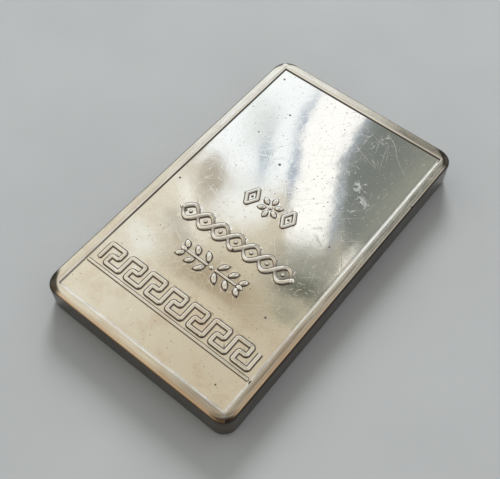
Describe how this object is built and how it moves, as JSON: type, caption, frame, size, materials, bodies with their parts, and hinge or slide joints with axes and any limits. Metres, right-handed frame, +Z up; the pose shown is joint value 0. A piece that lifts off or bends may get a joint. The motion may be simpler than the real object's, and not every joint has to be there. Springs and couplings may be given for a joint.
{
  "type": "silver bar",
  "caption": "Small flat rectangular bar of fine silver with rounded edges, a narrow raised rim and a sunk square-cornered field, lying on its plain back.",
  "frame": {"origin": "centre of the flat underside, which is the centre of the bounding box's bottom face", "axes": "+Z up through the thickness, towards the struck face; +Y along the long side; +X along the short side"},
  "size_m": [0.027, 0.0448, 0.0042],
  "materials": {
    "silver": "struck bright fine silver with fine handling scratches and a faint warm tarnish"
  },
  "bodies": {
    "root": {"silver_bar": "silver"}
  },
  "joints": []
}
